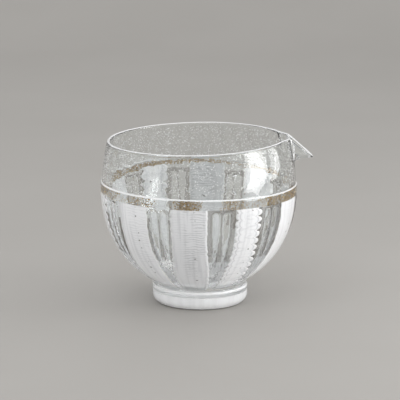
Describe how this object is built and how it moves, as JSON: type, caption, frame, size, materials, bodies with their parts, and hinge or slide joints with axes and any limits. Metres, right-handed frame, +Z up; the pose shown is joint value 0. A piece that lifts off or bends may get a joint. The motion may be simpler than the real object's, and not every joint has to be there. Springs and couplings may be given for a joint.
{
  "type": "sake pitcher",
  "caption": "Round hand-blown glass pitcher with a short drooping spout, a thick fluted lower wall and a solid round foot.",
  "frame": {"origin": "centre of the foot's flat resting face", "axes": "+Z up out of the bowl, +X towards the spout, +Y across it"},
  "size_m": [0.1081, 0.1, 0.0854],
  "materials": {
    "glass": "clear, polished"
  },
  "bodies": {
    "root": {"pitcher": "glass"}
  },
  "joints": []
}
